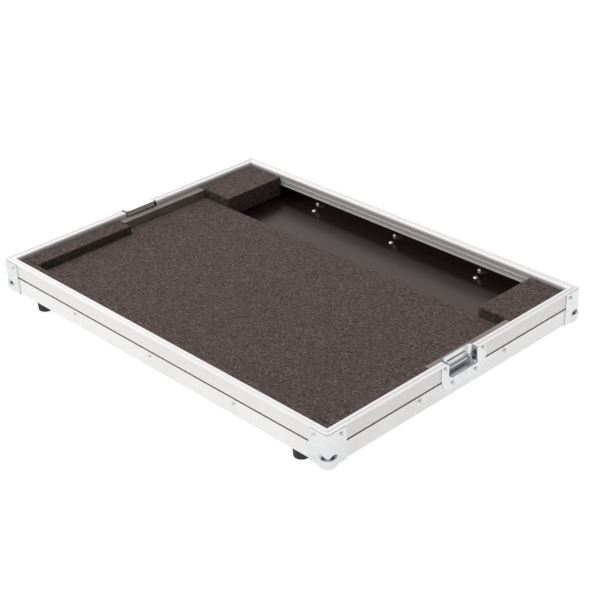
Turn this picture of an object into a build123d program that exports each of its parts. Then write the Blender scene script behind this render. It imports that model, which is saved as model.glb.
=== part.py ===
from build123d import *
import os

# Base tray of a flight case for guitar pedals, in millimetres.
# X runs along the long side, +Y points to the back, Z = 0 is the ground under the rubber feet.

# Overall size
tray_length = 600.0
tray_width = 443.0
tray_height = 42.5
foot_height = 18.5
corner_round = 4.0

# Plywood and aluminium sections
base_thickness = 6.5
wall_thickness = 9.0
skin = 1.2
angle_leg = 22.0
angle_edge_round = 0.8
rim_gap = 2.3
rim_web = 3.2
rim_inner_leg = 1.2
rim_inner_drop = 18.4
rim_edge_round = 3.0
rim_rib = 0.3
rim_rib_height = 1.6
rim_rib_count = 3
groove_width = 2.2
groove_depth = 0.5
groove_inset = 3.4
slot_clearance = 0.1

# Ball corners
brace_leg = 28.0
brace_sheet = 1.2
brace_below_rim = 0.4
brace_leg_round = 4.0
ball_radius = 13.2
ball_inset = 8.5
ball_rise = 6.0
ball_neck_round = 2.4
brace_bend_round = 1.2

# Latch dishes and keepers
dish_sheet = 1.2
flange_width = 78.0
flange_foot = 9.0
flange_round = 18.0
recess_width = 49.5
recess_floor = 24.2
recess_depth = 11.0
recess_round = 5.0
recess_above_rim = 1.4
mouth_round = 2.2
dish_clearance = 1.2
keeper_width = 32.0
keeper_sheet = 1.5
keeper_top = 5.0
keeper_seat = 5.0
keeper_reach = 2.5
keeper_drop = 3.5
keeper_bend = 2.0

# Backing battens behind the dishes
batten_face = 23.5
batten_top = 36.0
batten_front = -40.0
batten_back = 106.5

# Foam
pad_thickness = 17.8
strip_top = 37.0
block_top = 37.6
front_strip_face = 24.5
side_strip_face = 39.0
foam_gap = 0.3
pad_back_edge = 106.0
block_front_edge = 107.0
block_left_edge = -224.5
block_right_edge = 233.0

# Rubber feet
foot_from_end = 58.0
foot_from_side = 17.0
foot_top_radius = 10.8
foot_sole_radius = 9.8
foot_sole_round = 1.0
foot_recess_radius = 5.5
foot_recess_depth = 10.0
washer_sheet = 1.0
washer_radius = 5.2
screw_radius = 1.9
screw_head_radius = 3.7
screw_head_height = 2.4
screw_bite = 5.0

# Rivets
rivet_radius = 2.0
rivet_head_radius = 4.0
rivet_head_height = 1.5
rivet_mark_radius = 1.2
rivet_mark_depth = 0.5
rivet_tail_radius = 3.2
rivet_tail_height = 2.0
rivet_pitch = 150.0
rivet_pocket = 0.4
wall_rivet_height = 15.0
base_rivet_inset = 18.0
brace_rivet_inset = 20.0
brace_rivet_below_rim = 7.5
brace_base_from_end = 23.0
brace_base_from_side = 17.0
latch_rivet_high_below_rim = 4.0
latch_rivet_high_from_edge = 6.0
latch_rivet_low_above_foot = 6.0
latch_rivet_low_from_edge = 18.5

# Levels and faces that follow from the sizes above
tray_bottom = foot_height
rim_top = tray_bottom + tray_height
panel_bottom = tray_bottom + skin
floor_top = panel_bottom + base_thickness
wall_top = rim_top - rim_web
wall_face = skin + wall_thickness
leg_outer = wall_face + slot_clearance
leg_face = leg_outer + rim_inner_leg + rim_rib
rim_inner_bottom = rim_top - rim_inner_drop
rim_outer_bottom = tray_bottom + angle_leg + rim_gap
notch_half = recess_width / 2 + dish_sheet + dish_clearance
notch_floor = tray_bottom + recess_floor - dish_sheet - dish_clearance
foam_face = leg_face + foam_gap

# Each side in its own frame: X along the side, Y inwards from the outer face, Z up
side_frames = {
    "front": (Pos(0, -tray_width / 2, 0), tray_length),
    "right": (Pos(tray_length / 2, 0, 0) * Rot(0, 0, 90), tray_width),
    "back": (Pos(0, tray_width / 2, 0) * Rot(0, 0, 180), tray_length),
    "left": (Pos(-tray_length / 2, 0, 0) * Rot(0, 0, -90), tray_width),
}
corner_signs = {
    "front_left": (-1, -1),
    "front_right": (1, -1),
    "back_left": (-1, 1),
    "back_right": (1, 1),
}


def box_between(x_low, x_high, y_low, y_high, z_low, z_high):
    """A box given by its limits."""
    size = (x_high - x_low, y_high - y_low, z_high - z_low)
    centre = Pos((x_low + x_high) / 2, (y_low + y_high) / 2, (z_low + z_high) / 2)
    return centre * Box(*size)


def plan_prism(grow, z_low, z_high):
    """The tray's plan outline, grown or shrunk all round, between two levels."""
    outline = RectangleRounded(tray_length + 2 * grow, tray_width + 2 * grow, corner_round + grow)
    return Pos(0, 0, z_low) * extrude(outline, z_high - z_low)


def mitred_section(outline, side):
    """A section given in the side's Y and Z, run along the side and mitred at both corners."""
    frame, span = side_frames[side]
    bar = extrude(Plane.YZ * outline, span / 2, both=True)
    deep = outline.bounding_box().max.X
    half = span / 2
    plan = Polyline((-half, 0), (half, 0), (half - deep, deep), (-half + deep, deep), close=True)
    wedge = extrude(make_face(plan), rim_top + foot_height)
    return (frame * (bar & wedge)) & plan_prism(0, 0, rim_top + foot_height)


def side_holes(places, side, radius, depth):
    """Drilled holes that start outside a wall, at places along the side and up it."""
    frame, span = side_frames[side]
    drill = Rot(-90, 0, 0) * Cylinder(radius, 2 * depth)
    return [frame * Pos(along, 0, height) * drill for along, height in places]


def wall_rivet_places(side):
    """Where the rivets of a side's lower angle sit: along the side and up it."""
    count = 3 if side in ("front", "back") else 2
    start = -(count - 1) / 2 * rivet_pitch
    return [(start + k * rivet_pitch, tray_bottom + wall_rivet_height) for k in range(count)]


def base_rivet_places():
    """Where rivets hold the base panel on the bottom legs of the angles, in plan."""
    places = []
    for side in side_frames:
        frame, span = side_frames[side]
        for along, height in wall_rivet_places(side):
            spot = (frame * Pos(along, base_rivet_inset, 0)).position
            places.append((spot.X, spot.Y))
    return places


def brace_rivet_places(side):
    """Where a ball corner's upright legs are riveted at both ends of a side."""
    frame, span = side_frames[side]
    reach = span / 2 - brace_rivet_inset
    height = rim_top - brace_rivet_below_rim
    return [(-reach, height), (reach, height)]


def brace_base_places():
    """Where a ball corner's bottom leg is riveted, in plan."""
    x = tray_length / 2 - brace_base_from_end
    y = tray_width / 2 - brace_base_from_side
    return [(sx * x, sy * y) for sx, sy in corner_signs.values()]


def latch_rivet_places():
    """The four rivets of a latch dish: along the side and up it."""
    wide = flange_width / 2 - latch_rivet_high_from_edge
    narrow = flange_width / 2 - latch_rivet_low_from_edge
    high = rim_top - latch_rivet_high_below_rim
    low = tray_bottom + flange_foot + latch_rivet_low_above_foot
    return [(-wide, high), (wide, high), (-narrow, low), (narrow, low)]


def foot_places():
    """The four feet, in plan."""
    x = tray_length / 2 - foot_from_end
    y = tray_width / 2 - foot_from_side
    return {name: (sx * x, sy * y) for name, (sx, sy) in corner_signs.items()}


def fastener_holes():
    """Every hole that a rivet or screw needs through panels and sections."""
    through = wall_face + 1.0
    holes = []
    for side in side_frames:
        places = wall_rivet_places(side) + brace_rivet_places(side)
        if side in ("left", "right"):
            places = places + latch_rivet_places()
        holes += side_holes(places, side, rivet_radius, through)
    for x, y in base_rivet_places() + brace_base_places():
        holes.append(Pos(x, y, tray_bottom) * Cylinder(rivet_radius, 2 * through))
    for x, y in foot_places().values():
        depth = skin + screw_bite
        holes.append(Pos(x, y, tray_bottom + depth / 2) * Cylinder(screw_radius, depth))
    return holes


def latch_notch(side):
    """The space that a latch dish takes in its wall and rim."""
    frame, span = side_frames[side]
    top = rim_top + foot_height
    return frame * box_between(-notch_half, notch_half, -1, batten_face, notch_floor, top)


def base_panel():
    return plan_prism(-skin, panel_bottom, floor_top)


def long_wall(side):
    """Front or back wall, standing on the base panel."""
    frame, span = side_frames[side]
    half = span / 2 - skin
    plank = frame * box_between(-half, half, skin, wall_face, floor_top, wall_top)
    return plank & plan_prism(-skin, floor_top, wall_top)


def short_wall(side):
    """Left or right wall, between the long walls, with a cut-out for the latch dish."""
    frame, span = side_frames[side]
    half = span / 2 - wall_face
    plank = frame * box_between(-half, half, skin, wall_face, floor_top, wall_top)
    return plank - latch_notch(side)


def lower_angle(side):
    """L section that wraps the bottom edge."""
    top = tray_bottom + angle_leg
    outline = Polyline(
        (0, tray_bottom + angle_edge_round),
        (angle_edge_round, tray_bottom),
        (angle_leg, tray_bottom),
        (angle_leg, panel_bottom),
        (skin, panel_bottom),
        (skin, top),
        (0, top),
        close=True,
    )
    section = mitred_section(make_face(outline), side)
    if side in ("left", "right"):
        section = section - latch_notch(side)
    return section


def rim_outline():
    """Rim profile: outer leg, web with a groove for the lid's tongue, and a ribbed inner leg."""
    points = [
        (0, rim_outer_bottom),
        (0, rim_top),
        (groove_inset, rim_top),
        (groove_inset, rim_top - groove_depth),
        (groove_inset + groove_width, rim_top - groove_depth),
        (groove_inset + groove_width, rim_top),
        (leg_face, rim_top),
    ]
    flat = leg_face - rim_rib
    pitch = (rim_inner_drop - rim_edge_round - rim_rib_height) / (rim_rib_count - 1)
    for k in range(rim_rib_count):
        bottom = rim_top - rim_edge_round - rim_rib_height - k * pitch
        if k > 0:
            points += [(flat, bottom + rim_rib_height + rim_rib), (leg_face, bottom + rim_rib_height)]
        points += [(leg_face, bottom)]
        if k < rim_rib_count - 1:
            points += [(flat, bottom - rim_rib)]
    points += [
        (leg_outer, rim_inner_bottom),
        (leg_outer, wall_top),
        (skin, wall_top),
        (skin, rim_outer_bottom),
    ]
    outline = make_face(Polyline(*points, close=True))
    inner_edge = outline.vertices().sort_by_distance((leg_face, rim_top))[0]
    return fillet(inner_edge, rim_edge_round)


def ball_corner():
    """Pressed steel corner at +X +Y: two upright legs, a bottom leg and a hollow ball."""
    top = rim_top - brace_below_rim
    low = tray_bottom - brace_sheet
    reach_x = tray_length / 2 - brace_leg
    reach_y = tray_width / 2 - brace_leg
    beyond = brace_sheet + 1
    block = plan_prism(brace_sheet, low, top)
    block = block & box_between(reach_x, tray_length, reach_y, tray_width, low, top)
    bends = [e for e in block.faces().sort_by(Axis.Z)[0].edges() if is_outside(e, reach_x, reach_y)]
    block = fillet(bends, brace_bend_round)
    centre = Pos(tray_length / 2 - ball_inset, tray_width / 2 - ball_inset, tray_bottom + ball_rise)
    hidden_seam = Rot(0, 0, 225)
    body = block + centre * hidden_seam * Sphere(ball_radius)
    necks = [e for e in body.edges() if on_ball(e, centre)]
    body = fillet(necks, ball_neck_round)
    body = body - centre * Sphere(ball_radius - brace_sheet)
    body = body - plan_prism(0, tray_bottom, rim_top + beyond)
    body = round_leg_ends(body, reach_x, reach_y, top)
    return body - brace_holes()


def is_outside(edge, reach_x, reach_y):
    """True for an edge on a ball corner's outer faces."""
    middle = edge.center()
    return middle.X > reach_x + 1 and middle.Y > reach_y + 1


def on_ball(edge, centre):
    """True for a curved edge that lies on the ball."""
    away = (edge.position_at(0.5) - centre.position).length
    return edge.geom_type != GeomType.LINE and abs(away - ball_radius) < 0.01


def brace_holes():
    """The three rivet holes of the ball corner at +X +Y."""
    deep = 2 * wall_face
    right = side_holes(brace_rivet_places("right")[1:], "right", rivet_radius, deep)
    back = side_holes(brace_rivet_places("back")[:1], "back", rivet_radius, deep)
    x, y = brace_base_places()[-1]
    return right + back + [Pos(x, y, tray_bottom) * Cylinder(rivet_radius, deep)]


def round_leg_ends(body, reach_x, reach_y, top):
    """Round the free corners of a ball corner's three legs."""
    ends = []
    for edge in body.edges().filter_by(GeomType.LINE):
        middle = edge.center()
        at_x = abs(middle.X - reach_x) < 0.01
        at_y = abs(middle.Y - reach_y) < 0.01
        at_top = abs(middle.Z - top) < 0.01
        if (at_x and at_top) or (at_y and at_top) or (at_x and at_y):
            ends.append(edge)
    return fillet(ends, brace_leg_round)


def placed_corner(name):
    """The ball corner mirrored to the named corner of the tray."""
    sx, sy = corner_signs[name]
    corner = ball_corner()
    if sx < 0:
        corner = mirror(corner, Plane.YZ)
    if sy < 0:
        corner = mirror(corner, Plane.XZ)
    return corner


def recess_block(grow):
    """The hollow of a latch dish, or its outer form when grown, open at the front and the top."""
    half = recess_width / 2 + grow
    back = recess_depth + grow
    low = tray_bottom + recess_floor - grow
    block = box_between(-half, half, -recess_depth, back, low, rim_top + foot_height)
    rear = block.faces().sort_by(Axis.Y)[-1].edges()
    rear = [e for e in rear if e.center().Z < rim_top + 1]
    lower = block.faces().sort_by(Axis.Z)[0].edges().filter_by(Axis.Y)
    return fillet(rear + list(lower), recess_round + grow)


def at_mouth(edge, depth):
    """True for an edge round the mouth of a latch dish at a depth from the tray's outer face."""
    middle = edge.center()
    wide = recess_width / 2 + dish_sheet + 0.01
    low = tray_bottom + recess_floor - dish_sheet - 0.01
    return abs(middle.Y - depth) < 0.01 and abs(middle.X) < wide and low < middle.Z < rim_top - 0.01


def latch_dish(side):
    """Pressed dish with a flange on the outside and a recess let into the wall."""
    frame, span = side_frames[side]
    height = tray_height - flange_foot
    outline = Rectangle(flange_width, height)
    outline = fillet(outline.vertices().group_by(Axis.Y)[0], flange_round)
    plate = Plane.XZ * Pos(0, rim_top - height / 2) * outline
    flange = extrude(plate, dish_sheet)
    top = rim_top + recess_above_rim
    inside = box_between(-flange_width, flange_width, 0, tray_width, tray_bottom, top)
    dish = flange + (recess_block(dish_sheet) & inside)
    necks = [e for e in dish.edges() if at_mouth(e, 0)]
    dish = fillet(necks, mouth_round - dish_sheet) - recess_block(0)
    mouth = [e for e in dish.edges() if at_mouth(e, -dish_sheet)]
    dish = frame * fillet(mouth, mouth_round)
    return dish - side_holes(latch_rivet_places(), side, rivet_radius, wall_face)


def keeper(side):
    """Formed strip on the back of a dish, cranked outwards to catch the lid's latch hook."""
    frame, span = side_frames[side]
    back = recess_depth - keeper_sheet / 2
    front = back - keeper_reach
    high = rim_top - keeper_top
    bend = high - keeper_seat
    path = FilletPolyline(
        (back, high),
        (back, bend),
        (front, bend - keeper_reach),
        (front, bend - keeper_reach - keeper_drop),
        radius=keeper_bend,
    )
    strip = Plane.YZ * trace(path, keeper_sheet)
    return frame * extrude(strip, keeper_width / 2, both=True)


def batten(side):
    """Batten inside a short wall, rebated under the rim and hollowed behind the dish."""
    frame, span = side_frames[side]
    top = tray_bottom + batten_top
    rebate = rim_inner_bottom - slot_clearance
    points = [
        (wall_face, floor_top),
        (batten_face, floor_top),
        (batten_face, top),
        (leg_face + slot_clearance, top),
        (leg_face + slot_clearance, rebate),
        (wall_face, rebate),
    ]
    section = Plane.YZ * make_face(Polyline(*points, close=True))
    length = batten_back - batten_front
    middle = (batten_back + batten_front) / 2
    towards_back = 1 if side == "right" else -1
    bar = Pos(towards_back * middle, 0, 0) * extrude(section, length / 2, both=True)
    hollow = recess_block(dish_sheet + dish_clearance)
    return frame * (bar - hollow) - rivet_pockets()


def rivet_pockets():
    """Room for the rivet tails that stand inside the tray."""
    radius = rivet_tail_radius + rivet_pocket
    depth = rivet_tail_height + rivet_pocket
    pockets = [Pos(x, y, floor_top) * Cylinder(radius, 2 * depth) for x, y in base_rivet_places()]
    for side in side_frames:
        pockets += side_holes(wall_rivet_places(side), side, radius, wall_face + depth)
    return pockets


def foam(x_low, x_high, y_low, y_high, top):
    """A cut block of foam that rests on the base panel."""
    return box_between(x_low, x_high, y_low, y_high, floor_top, top)


def foam_pieces():
    """The pad, wider between the battens, with strips along the walls and two blocks at the back."""
    x_wall = tray_length / 2 - foam_face
    y_wall = tray_width / 2 - foam_face
    x_strip = tray_length / 2 - side_strip_face
    y_strip = front_strip_face - tray_width / 2
    strip = tray_bottom + strip_top
    block = tray_bottom + block_top
    pad_x = x_strip - foam_gap
    pad_y = y_strip + foam_gap
    strip_end = batten_front - foam_gap
    pad_top = floor_top + pad_thickness
    wide_x = tray_length / 2 - batten_face - foam_gap
    pad = foam(-pad_x, pad_x, pad_y, pad_back_edge, pad_top)
    pad += foam(-wide_x, wide_x, batten_front, pad_back_edge, pad_top)
    pieces = {
        "foam_main_pad": pad,
        "foam_front_strip": foam(-x_wall, x_wall, -y_wall, y_strip, strip),
        "foam_left_strip": foam(-x_wall, -x_strip, pad_y, strip_end, strip),
        "foam_right_strip": foam(x_strip, x_wall, pad_y, strip_end, strip),
        "foam_back_left_block": foam(-x_wall, block_left_edge, block_front_edge, y_wall, block),
        "foam_back_right_block": foam(block_right_edge, x_wall, block_front_edge, y_wall, block),
    }
    return {name: piece - rivet_pockets() for name, piece in pieces.items()}


def foot(x, y):
    """Tapered rubber foot with a recess for its screw."""
    cone = Pos(0, 0, foot_height / 2) * Cone(foot_sole_radius, foot_top_radius, foot_height)
    cone = fillet(cone.edges().sort_by(Axis.Z)[0], foot_sole_round)
    recess = Cylinder(foot_recess_radius, 2 * foot_recess_depth)
    bore = Cylinder(screw_radius, 3 * foot_height)
    return Pos(x, y, 0) * (cone - recess - bore)


def foot_washers():
    ring = Cylinder(washer_radius, washer_sheet) - Cylinder(screw_radius, washer_sheet)
    level = foot_recess_depth - washer_sheet / 2
    return Compound(children=[Pos(x, y, level) * ring for x, y in foot_places().values()])


def foot_screws():
    """Round head screws that reach up into the base panel."""
    head_top = foot_recess_depth - washer_sheet
    tip = panel_bottom + screw_bite
    points = [
        (0, head_top - screw_head_height),
        (screw_head_radius * 0.6, head_top - screw_head_height),
        (screw_head_radius, head_top - screw_head_height * 0.4),
        (screw_head_radius, head_top),
        (screw_radius, head_top),
        (screw_radius, tip - screw_radius),
        (0, tip),
    ]
    body = revolve(Plane.XZ * make_face(Polyline(*points, close=True)), Axis.Z)
    return Compound(children=[Pos(x, y, 0) * body for x, y in foot_places().values()])


def rivet(under_head, grip, tail):
    """Blind rivet on the Z axis: head below zero, shank up to the grip and a set tail beyond it."""
    crown = -rivet_head_height
    dome = ThreePointArc(
        (rivet_mark_radius, crown - under_head),
        (rivet_head_radius * 0.72, crown * 0.62 - under_head),
        (rivet_head_radius, -under_head),
    )
    tip = grip
    ends = [(rivet_radius, tip), (0, tip)]
    if tail:
        tip = grip + rivet_tail_height
        ends = [
            (rivet_radius, grip),
            (rivet_tail_radius, grip),
            (rivet_tail_radius, grip + rivet_tail_height * 0.5),
            (rivet_tail_radius * 0.6, tip),
            (0, tip),
        ]
    mark = crown - under_head + rivet_mark_depth
    shank = [(rivet_head_radius, -under_head), (rivet_radius, -under_head)] + ends
    centre = [(0, tip), (0, mark), (rivet_mark_radius, mark), (rivet_mark_radius, crown - under_head)]
    outline = dome + Polyline(*shank) + Polyline(*centre)
    return revolve(Plane.XZ * make_face(outline), Axis.Z)


def side_rivets(places, side, under_head, tail):
    """Rivets driven in through a side at places along it and up it."""
    frame, span = side_frames[side]
    body = rivet(under_head, skin + wall_thickness, tail)
    return [frame * Pos(along, 0, height) * Rot(-90, 0, 0) * body for along, height in places]


def upward_rivets(places, under_head, tail):
    """Rivets driven up through the base panel at places in plan."""
    body = rivet(under_head, skin + base_thickness, tail)
    return [Pos(x, y, tray_bottom) * body for x, y in places]


def wall_rivets():
    rivets = []
    for side in side_frames:
        rivets += side_rivets(wall_rivet_places(side), side, 0, True)
    return Compound(children=rivets)


def base_rivets():
    return Compound(children=upward_rivets(base_rivet_places(), 0, True))


def brace_rivets():
    rivets = upward_rivets(brace_base_places(), brace_sheet, False)
    for side in side_frames:
        rivets += side_rivets(brace_rivet_places(side), side, brace_sheet, False)
    return Compound(children=rivets)


def latch_rivets():
    rivets = []
    for side in ("left", "right"):
        rivets += side_rivets(latch_rivet_places(), side, dish_sheet, False)
    return Compound(children=rivets)


def rim_lengths():
    """The rim sections: whole at the front and back, cut in two by the latch dishes at the sides."""
    rims = {}
    for side in ("front", "back"):
        rims["rim_" + side] = mitred_section(rim_outline(), side)
    for side in ("left", "right"):
        halves = mitred_section(rim_outline(), side) - latch_notch(side)
        ordered = halves.solids().sort_by(Axis.Y)
        rims["rim_" + side + "_front"] = ordered[0]
        rims["rim_" + side + "_back"] = ordered[-1]
    return rims


def tray_pieces():
    """Every node of the tray by name."""
    holes = fastener_holes()
    pieces = {"base_panel": base_panel()}
    for side in ("front", "back"):
        pieces["wall_" + side] = long_wall(side)
    for side in ("left", "right"):
        pieces["wall_" + side] = short_wall(side)
    for side in side_frames:
        pieces["lower_angle_" + side] = lower_angle(side)
    pieces.update(rim_lengths())
    pieces = {name: piece - holes for name, piece in pieces.items()}
    for name in corner_signs:
        pieces["ball_corner_" + name] = placed_corner(name)
    for side in ("left", "right"):
        pieces["latch_dish_" + side] = latch_dish(side)
        pieces["latch_keeper_" + side] = keeper(side)
        pieces["latch_batten_" + side] = batten(side)
    pieces.update(foam_pieces())
    for name, (x, y) in foot_places().items():
        pieces["foot_" + name] = foot(x, y)
    pieces["foot_washers"] = foot_washers()
    pieces["foot_screws"] = foot_screws()
    pieces["wall_rivets"] = wall_rivets()
    pieces["base_rivets"] = base_rivets()
    pieces["ball_corner_rivets"] = brace_rivets()
    pieces["latch_rivets"] = latch_rivets()
    return pieces


os.makedirs("parts", exist_ok=True)
for node, piece in tray_pieces().items():
    export_step(piece, "parts/" + node + ".step")
    print(node)
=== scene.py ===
import bpy
import math
import numpy as np
from mathutils import Matrix, Vector


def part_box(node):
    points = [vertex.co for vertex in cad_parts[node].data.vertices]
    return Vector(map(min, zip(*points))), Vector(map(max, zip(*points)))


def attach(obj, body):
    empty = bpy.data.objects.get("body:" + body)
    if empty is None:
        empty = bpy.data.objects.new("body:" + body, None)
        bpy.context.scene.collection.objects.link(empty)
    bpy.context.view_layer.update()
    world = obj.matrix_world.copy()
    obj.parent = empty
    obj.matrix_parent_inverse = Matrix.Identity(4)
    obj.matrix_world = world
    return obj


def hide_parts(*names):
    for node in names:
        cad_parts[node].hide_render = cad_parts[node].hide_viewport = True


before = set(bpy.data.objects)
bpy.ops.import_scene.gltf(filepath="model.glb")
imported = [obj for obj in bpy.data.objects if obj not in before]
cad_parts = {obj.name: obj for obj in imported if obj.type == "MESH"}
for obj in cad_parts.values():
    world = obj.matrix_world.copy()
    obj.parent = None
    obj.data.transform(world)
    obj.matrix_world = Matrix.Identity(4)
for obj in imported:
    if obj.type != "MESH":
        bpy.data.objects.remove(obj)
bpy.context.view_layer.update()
print("frame loaded:", len(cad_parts), "nodes")


class Wire:
    # wraps one socket of a node tree, so that sums and products on it add Math nodes
    def __init__(self, tree, socket):
        self.tree = tree
        self.socket = socket

    def other(self, name):
        # another output of the node that this wire comes from
        return Wire(self.tree, self.socket.node.outputs[name])

    def math(self, operation, *values):
        return self.tree.node("ShaderNodeMath", {"operation": operation}, dict(enumerate(values)))

    def __add__(self, value):
        return self.math("ADD", self, value)

    def __radd__(self, value):
        return self.math("ADD", value, self)

    def __sub__(self, value):
        return self.math("SUBTRACT", self, value)

    def __rsub__(self, value):
        return self.math("SUBTRACT", value, self)

    def __mul__(self, value):
        return self.math("MULTIPLY", self, value)

    def __rmul__(self, value):
        return self.math("MULTIPLY", value, self)

    def atLeast(self, value):
        return self.math("MAXIMUM", self, value)

    def clipped(self):
        return self.tree.node("ShaderNodeClamp", {}, {"Value": self})

    def smooth(self, low, high):
        # 0 below low, 1 above high and an S curve between them; swapped limits turn it round
        return self.tree.node("ShaderNodeMapRange", {"interpolation_type": "SMOOTHSTEP"},
                              {"Value": self, "From Min": low, "From Max": high})


class NodeTree:
    # a material's or the world's tree, and the one method that makes its nodes
    def __init__(self, owner):
        owner.use_nodes = True
        self.owner = owner
        self.tree = owner.node_tree
        self.tree.nodes.clear()

    def node(self, kind, settings, inputs, output=0):
        made = self.tree.nodes.new(kind)
        for key, value in settings.items():
            setattr(made, key, value)
        for key, value in inputs.items():
            socket = made.inputs[key]
            if isinstance(value, Wire):
                self.tree.links.new(value.socket, socket)
            else:
                socket.default_value = value
        return Wire(self, made.outputs[output]) if len(made.outputs) else made

    def objectPoint(self, stretch=(1.0, 1.0, 1.0)):
        point = self.node("ShaderNodeTexCoord", {}, {}, "Object")
        return self.node("ShaderNodeMapping", {}, {"Vector": point, "Scale": stretch})

    def noise(self, point, scale, detail=3.0, roughness=0.55):
        return self.node("ShaderNodeTexNoise", {},
                         {"Vector": point, "Scale": scale, "Detail": detail, "Roughness": roughness})

    def cells(self, point, scale, feature="F1"):
        return self.node("ShaderNodeTexVoronoi", {"feature": feature}, {"Vector": point, "Scale": scale})

    def firstChannel(self, colour):
        return self.node("ShaderNodeSeparateColor", {}, {"Color": colour})

    def blend(self, factor, first, second):
        return self.node("ShaderNodeMix", {"data_type": "RGBA"}, {0: factor, 6: first, 7: second}, 2)

    def bump(self, height, distance, strength):
        return self.node("ShaderNodeBump", {},
                         {"Height": height, "Distance": distance, "Strength": strength})

    def surface(self, inputs):
        shader = self.node("ShaderNodeBsdfPrincipled", {}, inputs)
        self.node("ShaderNodeOutputMaterial", {}, {"Surface": shader})
        return self.owner


def newTree(name):
    return NodeTree(bpy.data.materials.new(name))


def rgb(red, green, blue):
    return (red, green, blue, 1.0)


# lengths in metres, scales in pattern cells per metre; ...Edges are the limits of an S curve,
# ...Share is how much a pattern counts and ...Detail the octaves and roughness of its noise
aluminiumLook = {
    # painted shade: the side rims get a darker copy of the front and back rims' aluminium paint
    "rimX": {"paint": (0.918, 0.897, 0.885), "dullPaint": (0.868, 0.847, 0.835), "metal": 0.20},
    "shadedRimY": {"paint": (0.892, 0.875, 0.864), "dullPaint": (0.842, 0.825, 0.814), "metal": 0.20},
    "angle": {"paint": (0.880, 0.876, 0.872), "dullPaint": (0.820, 0.812, 0.806), "metal": 0.70},
    "roughness": 0.50,
    "roughnessSpread": 0.10,
    "lineScale": 900.0,       # extrusion lines across the section
    "lineLength": 3.0,        # and along it
    "lineShare": 0.4,
    "lineDepth": 0.00003,
    "smudgeScale": 9.0,
    "smudgeDetail": (4.0, 0.6),
    "smudgeEdges": (0.42, 0.72),
    "smudgeShare": 0.6,
    "scratchScale": 60.0,
    "scratchNarrow": 6.0,     # squeeze of the scratches across the section
    "scratchUpright": 2.5,    # and upwards
    "scratchDetail": (2.0, 0.7),
    "scratchEdges": (0.66, 0.72),
    "scratchShare": 0.35,
    "scratchDepth": 0.6,
    "bumpStrength": 0.5,
}


def aluminium(name, kind, along):
    # satin extrusion: fine lines run along the section, with faint smudges and short scratches
    look = dict(aluminiumLook, **aluminiumLook[kind])
    tree = newTree(name)
    across, length = look["lineScale"], look["lineLength"]
    narrow, upright = look["scratchNarrow"], look["scratchUpright"]
    stretch = (length, across, across) if along == "x" else (across, length, across)
    turn = (1.0, narrow, upright) if along == "x" else (narrow, 1.0, upright)
    lines = tree.noise(tree.objectPoint(stretch), 1.0, 2.0)
    smudges = tree.noise(tree.objectPoint(), look["smudgeScale"], *look["smudgeDetail"])
    scratches = tree.noise(tree.objectPoint(turn), look["scratchScale"], *look["scratchDetail"])
    scratches = scratches.smooth(*look["scratchEdges"])
    dullness = (smudges.smooth(*look["smudgeEdges"]) * look["smudgeShare"]
                + lines * look["lineShare"] + scratches * look["scratchShare"]).clipped()
    return tree.surface({
        "Base Color": tree.blend(dullness, rgb(*look["paint"]), rgb(*look["dullPaint"])),
        "Metallic": look["metal"],
        "Roughness": dullness * look["roughnessSpread"] + look["roughness"],
        "Normal": tree.bump(lines + scratches * look["scratchDepth"], look["lineDepth"],
                            look["bumpStrength"]),
    })


steelLook = {
    "ball": {"paint": (0.71, 0.72, 0.725), "stain": (0.60, 0.61, 0.615), "roughness": 0.20},
    "dish": {"paint": (0.73, 0.745, 0.75), "stain": (0.62, 0.635, 0.645), "roughness": 0.18},
    "screw": {"paint": (0.60, 0.60, 0.60), "stain": (0.40, 0.39, 0.37), "roughness": 0.34},
    "spangleScale": 260.0,
    "spangleShare": 0.2,
    "spangleRoughness": 0.03,
    "cloudScale": 34.0,
    "cloudDetail": (4.0, 0.6),
    "cloudEdges": (0.45, 0.8),
    "cloudShare": 0.8,
    "stainRoughness": 0.12,
    "dentScale": 22.0,
    "dentDepth": 0.00012,
    "bumpStrength": 0.5,
}


def platedSteel(name, kind):
    # zinc plate: a fine spangle in the roughness, clouded tone and a slight waviness from the press
    look = dict(steelLook, **steelLook[kind])
    tree = newTree(name)
    point = tree.objectPoint()
    cloud = tree.noise(point, look["cloudScale"], *look["cloudDetail"])
    spangle = tree.firstChannel(tree.cells(point, look["spangleScale"]).other("Color"))
    stain = cloud.smooth(*look["cloudEdges"]) * look["cloudShare"] + spangle * look["spangleShare"]
    stain = stain.clipped()
    dents = tree.noise(point, look["dentScale"], 1.0)
    rough = stain * look["stainRoughness"] + spangle * look["spangleRoughness"] + look["roughness"]
    return tree.surface({
        "Base Color": tree.blend(stain, rgb(*look["paint"]), rgb(*look["stain"])),
        "Metallic": 1.0,
        "Roughness": rough,
        "Normal": tree.bump(dents, look["dentDepth"], look["bumpStrength"]),
    })


rivetLook = {
    "paint": (0.86, 0.855, 0.85),
    "dirt": (0.42, 0.40, 0.39),
    "roughness": 0.50,
    "grimeScale": 700.0,
    "grimeDetail": (3.0, 0.6),
    "grimeEdges": (0.52, 0.74),
    "grimeShare": 0.6,
    "grimeRoughness": 0.2,
    "grimeDepth": 0.00005,
    "bumpStrength": 0.4,
}


def rivetMetal():
    # tumbled blind rivets: dull silver with a little grime
    look = rivetLook
    tree = newTree("rivetMetal")
    grime = tree.noise(tree.objectPoint(), look["grimeScale"], *look["grimeDetail"])
    grime = grime.smooth(*look["grimeEdges"])
    return tree.surface({
        "Base Color": tree.blend(grime * look["grimeShare"], rgb(*look["paint"]), rgb(*look["dirt"])),
        "Metallic": 1.0,
        "Roughness": grime * look["grimeRoughness"] + look["roughness"],
        "Normal": tree.bump(grime, look["grimeDepth"], look["bumpStrength"]),
    })


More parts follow.
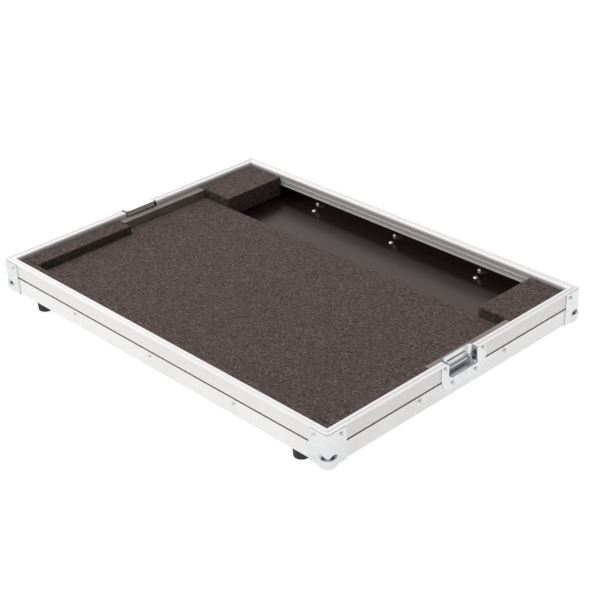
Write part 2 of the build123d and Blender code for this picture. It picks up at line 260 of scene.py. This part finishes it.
panelLook = {
    "floor": {"paint": (0.0040, 0.0024, 0.0018), "grain": (0.0068, 0.0042, 0.0034), "roughness": 0.16},
    "wall": {"paint": (0.0016, 0.0010, 0.0006), "grain": (0.0036, 0.0022, 0.0014), "roughness": 0.22},
    "gloss": 1.59,            # refractive index of the film
    "glossTint": (1.0, 0.62, 0.58),
    "grainScale": 5.0,
    "grainStretch": (1.0, 14.0, 14.0),
    "grainDetail": (5.0, 0.6),
    "grainEdges": (0.3, 0.75),
    "grainShare": 0.8,
    "grainRoughness": 0.06,
    "poreScale": 900.0,
    "poreDetail": (2.0, 0.6),
    "poreShare": 0.2,
    "poreRoughness": 0.1,
    "poreDepth": 0.00003,
    "bumpStrength": 0.3,
}


def laminate(name, kind):
    # film faced plywood: long faint grain under a film with fine pores
    look = dict(panelLook, **panelLook[kind])
    tree = newTree(name)
    grain = tree.noise(tree.objectPoint(look["grainStretch"]), look["grainScale"], *look["grainDetail"])
    pores = tree.noise(tree.objectPoint(), look["poreScale"], *look["poreDetail"])
    tone = grain.smooth(*look["grainEdges"]) * look["grainShare"] + pores * look["poreShare"]
    rough = pores * look["poreRoughness"] + grain * look["grainRoughness"] + look["roughness"]
    return tree.surface({
        "Base Color": tree.blend(tone.clipped(), rgb(*look["paint"]), rgb(*look["grain"])),
        "Roughness": rough,
        "IOR": look["gloss"],
        "Specular Tint": rgb(*look["glossTint"]),
        "Normal": tree.bump(pores, look["poreDepth"], look["bumpStrength"]),
    })


battenLook = {
    "paint": (0.262, 0.222, 0.205),
    "worn": (0.170, 0.138, 0.126),
    "roughness": 0.55,
    "wearRoughness": 0.1,
    "grainStretch": (90.0, 3.5, 90.0),
    "grainScale": 6.0,
    "grainDetail": (4.0, 0.6),
    "grainEdges": (0.35, 0.7),
    "grainShare": 0.5,
    "grainDepth": 0.0002,
    "patchScale": 28.0,
    "patchDetail": (3.0, 0.6),
    "patchEdges": (0.45, 0.7),
    "patchShare": 0.5,
    "bumpStrength": 0.5,
}


def battenPaint():
    # grey primer over planed wood: the grain telegraphs along the batten
    look = battenLook
    tree = newTree("battenPaint")
    grain = tree.noise(tree.objectPoint(look["grainStretch"]), look["grainScale"], *look["grainDetail"])
    patches = tree.noise(tree.objectPoint(), look["patchScale"], *look["patchDetail"])
    wear = (grain.smooth(*look["grainEdges"]) * look["grainShare"]
            + patches.smooth(*look["patchEdges"]) * look["patchShare"]).clipped()
    return tree.surface({
        "Base Color": tree.blend(wear, rgb(*look["paint"]), rgb(*look["worn"])),
        "Roughness": wear * look["wearRoughness"] + look["roughness"],
        "Normal": tree.bump(grain, look["grainDepth"], look["bumpStrength"]),
    })


rubberLook = {
    "paint": (0.012, 0.011, 0.011),
    "dust": (0.045, 0.042, 0.040),
    "roughness": 0.55,
    "dustScale": 350.0,
    "dustDetail": (4.0, 0.65),
    "dustEdges": (0.45, 0.8),
    "dustShare": 0.7,
    "dustRoughness": 0.2,
    "dustDepth": 0.0001,
    "bumpStrength": 0.5,
}


def footRubber():
    # moulded rubber with dust in its fine texture
    look = rubberLook
    tree = newTree("footRubber")
    dust = tree.noise(tree.objectPoint(), look["dustScale"], *look["dustDetail"])
    cover = dust.smooth(*look["dustEdges"]) * look["dustShare"]
    return tree.surface({
        "Base Color": tree.blend(cover, rgb(*look["paint"]), rgb(*look["dust"])),
        "Roughness": dust * look["dustRoughness"] + look["roughness"],
        "Normal": tree.bump(dust, look["dustDepth"], look["bumpStrength"]),
    })


foamLook = {
    "paint": (0.116, 0.0790, 0.0740),
    "worn": (0.103, 0.0760, 0.0685),
    # painted shade: colour of the dark pits inside the cells
    "pitShade": (0.032, 0.022, 0.020),
    # painted highlight: colour of the pale flecks where cell walls catch the light
    "fleckHighlight": (0.250, 0.192, 0.178),
    "roughness": 0.93,
    "cellScale": 480.0,
    "cellWall": (0.0, 0.16),          # S curve from a cell's wall inwards
    "mottleScale": 300.0,
    "mottleDetail": (5.0, 0.75),
    "mottleHeight": 0.8,
    "driftScale": 7.0,
    "driftDetail": (3.0, 0.5),
    "driftEdges": (0.3, 0.7),
    "driftShare": 0.25,
    "highlightFleckCells": (0.68, 0.97),       # which cells hold a painted highlight fleck, and where the mottle lets it show
    "highlightFleckMottle": (0.42, 0.62),
    # which cells hold a painted shade pit, and where the mottle lets it show
    "shadePitCells": (0.52, 0.95),
    "shadePitMottle": (0.64, 0.42),
    "cellDepth": 0.0011,
    "bumpStrength": 0.8,
}


def foamSkin():
    # coarse cut foam: dark pits inside the cells are painted shade, pale flecks where cell walls catch
    # the light are a painted highlight
    look = foamLook
    tree = newTree("foamSkin")
    point = tree.objectPoint()
    walls = tree.cells(point, look["cellScale"], "DISTANCE_TO_EDGE")
    tint = tree.firstChannel(tree.cells(point, look["cellScale"]).other("Color"))
    mottle = tree.noise(point, look["mottleScale"], *look["mottleDetail"])
    drift = tree.noise(point, look["driftScale"], *look["driftDetail"])
    # painted highlight on the pale flecks and painted shade in the dark pits
    highlightFlecks = tint.smooth(*look["highlightFleckCells"]) * mottle.smooth(*look["highlightFleckMottle"])
    shadedPits = (1.0 - tint).smooth(*look["shadePitCells"]) * mottle.smooth(*look["shadePitMottle"])
    wear = drift.smooth(*look["driftEdges"]) * look["driftShare"]
    base = tree.blend(wear, rgb(*look["paint"]), rgb(*look["worn"]))
    # the pits' painted shade goes over the base colour, the flecks' painted highlight over both
    withPitShade = tree.blend(shadedPits.clipped(), base, rgb(*look["pitShade"]))
    height = mottle * look["mottleHeight"] - walls.smooth(*look["cellWall"])
    return tree.surface({
        "Base Color": tree.blend(highlightFlecks.clipped(), withPitShade, rgb(*look["fleckHighlight"])),
        "Roughness": look["roughness"],
        "Normal": tree.bump(height, look["cellDepth"], look["bumpStrength"]),
    })


print("building materials")
rimX = aluminium("rimAlongLength", "rimX", "x")
# the side rims' darker copy of the same aluminium is painted shade
shadedRimY = aluminium("rimAlongWidthShaded", "shadedRimY", "y")
angleX = aluminium("angleAlongLength", "angle", "x")
angleY = aluminium("angleAlongWidth", "angle", "y")
ballSteel = platedSteel("ballCornerSteel", "ball")
dishSteel = platedSteel("latchSteel", "dish")
screwSteel = platedSteel("screwSteel", "screw")
rivets = rivetMetal()
floorLaminate = laminate("floorLaminate", "floor")
wallLaminate = laminate("wallLaminate", "wall")
battenGrey = battenPaint()
rubber = footRubber()
foam = foamSkin()

# first part of a node's name that matches decides its finish
finishes = [
    ("base_panel", floorLaminate),
    ("wall_rivets", rivets),
    ("base_rivets", rivets),
    ("ball_corner_rivets", rivets),
    ("latch_rivets", rivets),
    ("wall_", wallLaminate),
    ("lower_angle_front", angleX),
    ("lower_angle_back", angleX),
    ("lower_angle_", angleY),
    ("rim_front", rimX),
    ("rim_back", rimX),
    ("rim_", shadedRimY),
    ("ball_corner_", ballSteel),
    ("latch_batten", battenGrey),
    ("latch_", dishSteel),
    ("foot_washers", screwSteel),
    ("foot_screws", screwSteel),
    ("foot_", rubber),
    ("foam_", foam),
]


def dressNodes():
    for name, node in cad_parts.items():
        material = next(finish for start, finish in finishes if name.startswith(start))
        node.data.materials.clear()
        node.data.materials.append(material)


dressNodes()
print("CAD nodes dressed")


foamCut = {
    "edgeRound": 0.0011,       # softened edge of a knife cut
    "edgeStep": 0.35,          # place of an extra row of points on that edge, as a share of it
    "flatWay": 0.99,           # a way out with a part above this belongs to a flat face
    "cellSize": 0.0030,
    "cellHeight": 0.00022,
    "fineSize": 0.0015,
    "fineShare": 0.5,          # height of the fine cells against the others
    "waveSize": 0.045,
    "waveHeight": 0.00035,
    "tearSize": 0.0060,
    "edgeTear": 0.00035,
}
latticeHash = {
    "axisPrimes": (73856093, 19349663, 83492791),
    "seedPrime": 2654435761,
    "rounds": ((15, 2246822519), (13, 3266489917)),    # shift and prime of each mixing round
    "lastShift": 16,
    "largest": 0xFFFFFFFF,
}


def latticeNoise(points, size, seed):
    # value noise: each lattice corner gets a hashed number, blended by smoothstep weights in x, y and z
    primes, largest = np.array(latticeHash["axisPrimes"]), latticeHash["largest"]
    cell = np.floor(points / size).astype(np.int64)
    part = points / size - cell
    part = part * part * (3.0 - 2.0 * part)
    total = np.zeros(len(points))
    for corner in range(8):
        step = np.array([corner & 1, corner >> 1 & 1, corner >> 2 & 1])
        key = (cell + step) * primes
        mixed = (key[:, 0] ^ key[:, 1] ^ key[:, 2] ^ (seed * latticeHash["seedPrime"])) & largest
        for shift, prime in latticeHash["rounds"]:
            mixed = (mixed ^ mixed >> shift) * prime & largest
        value = (mixed ^ mixed >> latticeHash["lastShift"]) / largest
        weight = np.prod(np.where(step == 1, part, 1.0 - part), axis=1)
        total += value * weight
    return total


def axisStations(marks, spacing):
    # places along one axis: close together beside the cut faces, even between them
    edge = foamCut["edgeRound"]
    step = edge * foamCut["edgeStep"]
    places = []
    for low, high in zip(marks[:-1], marks[1:]):
        count = max(2, int(round((high - low - 2 * edge) / spacing)))
        places += [low, low + step, high - step, high]
        places += list(np.linspace(low + edge, high - edge, count + 1))
    return np.unique(np.round(places, 7))


def latticeShell(stations, filled):
    # the faces between the filled and the empty cells of an x, y, z lattice, wound to face outwards
    counts = [len(s) for s in stations]
    corners = np.arange(np.prod(counts)).reshape(counts)
    quads = []
    for axis in range(3):
        solid = np.moveaxis(filled, axis, 0).astype(int)
        index = np.moveaxis(corners, axis, 0)
        empty = np.zeros_like(solid[:1])
        change = np.diff(np.concatenate([empty, solid, empty]), axis=0)
        for begins in (True, False):
            i, j, k = np.nonzero(change == (1 if begins else -1))
            quad = np.stack([index[i, j, k], index[i, j + 1, k],
                             index[i, j + 1, k + 1], index[i, j, k + 1]], axis=1)
            # x and z sheets wind up their axis, y sheets down it
            quads.append(quad[:, ::-1] if begins != (axis == 1) else quad)
    used, packed = np.unique(np.concatenate(quads), return_inverse=True)
    place = np.unravel_index(used, counts)
    points = np.stack([stations[a][place[a]] for a in range(3)], axis=1)
    return points, packed.reshape(-1, 4)


def foamShape(boxes, spacing, seed):
    # a point of the boxes' shell is pulled to the rounded form: nearest point of the shrunken boxes
    # plus the edge radius along the way out, then moved along it by cell noise, waves and torn edges
    cut = foamCut
    stations = [axisStations(sorted({round(corner[a], 6) for box in boxes for corner in box}), spacing)
                for a in range(3)]
    middles = np.meshgrid(*[(s[1:] + s[:-1]) / 2 for s in stations], indexing="ij")
    filled = np.zeros(middles[0].shape, dtype=bool)
    for low, high in boxes:
        filled |= np.all([(middles[a] > low[a]) & (middles[a] < high[a]) for a in range(3)], axis=0)
    points, quads = latticeShell(stations, filled)
    edge = cut["edgeRound"]
    nearest = np.array([np.clip(points, np.array(low) + edge, np.array(high) - edge)
                        for low, high in boxes])
    reach = np.linalg.norm(points - nearest, axis=2)
    inner = nearest[reach.argmin(axis=0), np.arange(len(points))]
    away = points - inner
    away /= np.linalg.norm(away, axis=1, keepdims=True)
    cells = latticeNoise(points, cut["cellSize"], seed) - 0.5
    fine = latticeNoise(points, cut["fineSize"], seed + 1) - 0.5
    waves = latticeNoise(points, cut["waveSize"], seed + 2) - 0.5
    onEdge = (np.abs(away).max(axis=1) < cut["flatWay"]).astype(float)
    tear = latticeNoise(points, cut["tearSize"], seed + 3) * onEdge
    rough = 2.0 * cut["cellHeight"] * (cells + cut["fineShare"] * fine)
    lift = rough + cut["waveHeight"] * waves - cut["edgeTear"] * tear
    sink = cut["cellHeight"] + cut["waveHeight"] / 2    # keeps nearly all of it inside the boxes
    shape = inner + away * (edge + lift - sink)[:, None]
    shape[:, 2] = np.maximum(shape[:, 2], boxes[0][0][2])    # the cut underside lies on the base
    return shape, quads


def makeMesh(name, points, quads, smooth=True):
    # four sided faces into a new object, through whole arrays
    mesh = bpy.data.meshes.new(name)
    mesh.vertices.add(len(points))
    mesh.vertices.foreach_set("co", points.astype(np.float32).ravel())
    mesh.loops.add(quads.size)
    mesh.loops.foreach_set("vertex_index", quads.astype(np.int32).ravel())
    mesh.polygons.add(len(quads))
    mesh.polygons.foreach_set("loop_start", np.arange(0, quads.size, 4, dtype=np.int32))
    mesh.update(calc_edges=True)
    mesh.validate()
    mesh.polygons.foreach_set("use_smooth", np.full(len(quads), smooth))
    piece = bpy.data.objects.new(name, mesh)
    bpy.context.scene.collection.objects.link(piece)
    return piece


foamNodes = {
    "foam_main_pad": {"name": "mainPadFoam", "seed": 11, "spacing": 0.0024},
    "foam_front_strip": {"name": "frontStripFoam", "seed": 23, "spacing": 0.0020},
    "foam_left_strip": {"name": "leftStripFoam", "seed": 37, "spacing": 0.0018},
    "foam_right_strip": {"name": "rightStripFoam", "seed": 41, "spacing": 0.0018},
    "foam_back_left_block": {"name": "backLeftFoam", "seed": 59, "spacing": 0.0018},
    "foam_back_right_block": {"name": "backRightFoam", "seed": 67, "spacing": 0.0018},
}


def foamBoxes(node):
    # one box for a plain piece; the pad adds a wider one behind the strips, up to the battens
    low, high = (list(corner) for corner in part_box(node))
    if node != "foam_main_pad":
        return [(low, high)]
    gap = low[1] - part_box("foam_front_strip")[1][1]
    leftStrip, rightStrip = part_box("foam_left_strip"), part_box("foam_right_strip")
    narrowLow = [leftStrip[1][0] + gap, low[1], low[2]]
    narrowHigh = [rightStrip[0][0] - gap, high[1], high[2]]
    wideLow = [low[0], leftStrip[1][1] + gap, low[2]]
    return [(narrowLow, narrowHigh), (wideLow, high)]


def makeFoam(node, values):
    points, quads = foamShape(foamBoxes(node), values["spacing"], values["seed"])
    piece = makeMesh(values["name"], points, quads)
    piece.data.materials.append(foam)
    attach(piece, "root")
    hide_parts(node)
    return piece


for node, values in foamNodes.items():
    made = makeFoam(node, values)
    print("foam piece", made.name, len(made.data.polygons), "faces")


stageLook = {
    "size": 14.0,
    "paint": (0.32, 0.32, 0.32),
    "speck": (0.30, 0.30, 0.30),
    "speckScale": 400.0,
    "roughness": 0.9,
    "glow": 0.86,             # own light of the sweep, which keeps it pale and lights the sides
}


def makeFloor():
    # pale sweep under the tray
    half = stageLook["size"] / 2
    corners = np.array([[-half, -half, 0.0], [half, -half, 0.0], [half, half, 0.0], [-half, half, 0.0]])
    floor = makeMesh("studioFloor", corners, np.array([[0, 1, 2, 3]]), smooth=False)
    tree = newTree("studioFloorPaint")
    speck = tree.noise(tree.objectPoint(), stageLook["speckScale"], 2.0)
    floor.data.materials.append(tree.surface({
        "Base Color": tree.blend(speck, rgb(*stageLook["paint"]), rgb(*stageLook["speck"])),
        "Roughness": stageLook["roughness"],
        "Emission Color": rgb(1.0, 1.0, 1.0),
        "Emission Strength": stageLook["glow"],
    }))


lightLook = {
    "keyPlace": (-0.75, -0.15, 1.80),
    "keyTowards": (0.0, 0.0, 0.0),
    "keySize": 1.3,
    "keyPower": 14.0,
    "sky": 0.33,
    "darkest": 0.03,          # light left inside the dark boards
    # strength and direction of a glow or a dark board, and the cosines where it starts and is full
    "glows": [
        (0.62, (-0.64, 0.60, 0.48), 0.45, 0.84),
        (0.55, (-0.55, -0.62, 0.56), 0.45, 0.90),
        (-0.80, (-0.10, -0.97, 0.20), 0.88, 0.95),
        (-0.29, (0.97, 0.10, 0.20), 0.86, 0.94),
    ],
}


def makeWorld():
    # pale room light, brighter on the far side and at the front left, with two dark boards
    world = bpy.data.worlds.new("studioRoom")
    bpy.context.scene.world = world
    tree = NodeTree(world)
    way = tree.node("ShaderNodeTexCoord", {}, {}, "Generated")
    strength = lightLook["sky"]
    for power, direction, start, full in lightLook["glows"]:
        unit = tuple(Vector(direction).normalized())
        facing = tree.node("ShaderNodeVectorMath", {"operation": "DOT_PRODUCT"},
                           {0: way, 1: unit}, "Value")
        strength = facing.smooth(start, full) * power + strength
    glow = tree.node("ShaderNodeBackground", {}, {
        "Color": rgb(1.0, 1.0, 1.0),
        "Strength": strength.atLeast(lightLook["darkest"]),
    })
    tree.node("ShaderNodeOutputWorld", {}, {"Surface": glow})


def makeKey():
    # one large soft lamp above the far left corner
    light = bpy.data.lights.new("softKey", "AREA")
    light.energy = lightLook["keyPower"]
    light.shape = "DISK"
    light.size = lightLook["keySize"]
    key = bpy.data.objects.new("softKey", light)
    way = Vector(lightLook["keyPlace"]) - Vector(lightLook["keyTowards"])
    key.location = lightLook["keyPlace"]
    key.rotation_mode = "QUATERNION"
    key.rotation_quaternion = way.to_track_quat("Z", "Y")
    bpy.context.scene.collection.objects.link(key)


cameraLook = {
    "place": (1.1964, -1.0960, 0.9245),
    "azimuth": 47.002,
    "elevation": 28.966,
    "roll": -2.124,
    "lens": 87.63,            # focal length and sensor width in millimetres
    "sensor": 36.0,
}


def makeCamera():
    # back points from the tray to the camera; right and up are square to it and turned by the roll
    azimuth, elevation, roll = (math.radians(cameraLook[k]) for k in ("azimuth", "elevation", "roll"))
    back = Vector((math.sin(azimuth) * math.cos(elevation),
                   -math.cos(azimuth) * math.cos(elevation),
                   math.sin(elevation)))
    right = Vector((0.0, 0.0, 1.0)).cross(back).normalized()
    up = back.cross(right)
    tiltedRight = right * math.cos(roll) + up * math.sin(roll)
    tiltedUp = up * math.cos(roll) - right * math.sin(roll)
    lens = bpy.data.cameras.new("studioCamera")
    lens.lens = cameraLook["lens"]
    lens.sensor_width = cameraLook["sensor"]
    camera = bpy.data.objects.new("studioCamera", lens)
    turn = Matrix((tiltedRight, tiltedUp, back)).transposed().to_4x4()
    camera.matrix_world = Matrix.Translation(cameraLook["place"]) @ turn
    bpy.context.scene.collection.objects.link(camera)
    bpy.context.scene.camera = camera


makeFloor()
makeWorld()
makeKey()
makeCamera()
bpy.context.scene.view_settings.view_transform = "Standard"
print("studio ready")
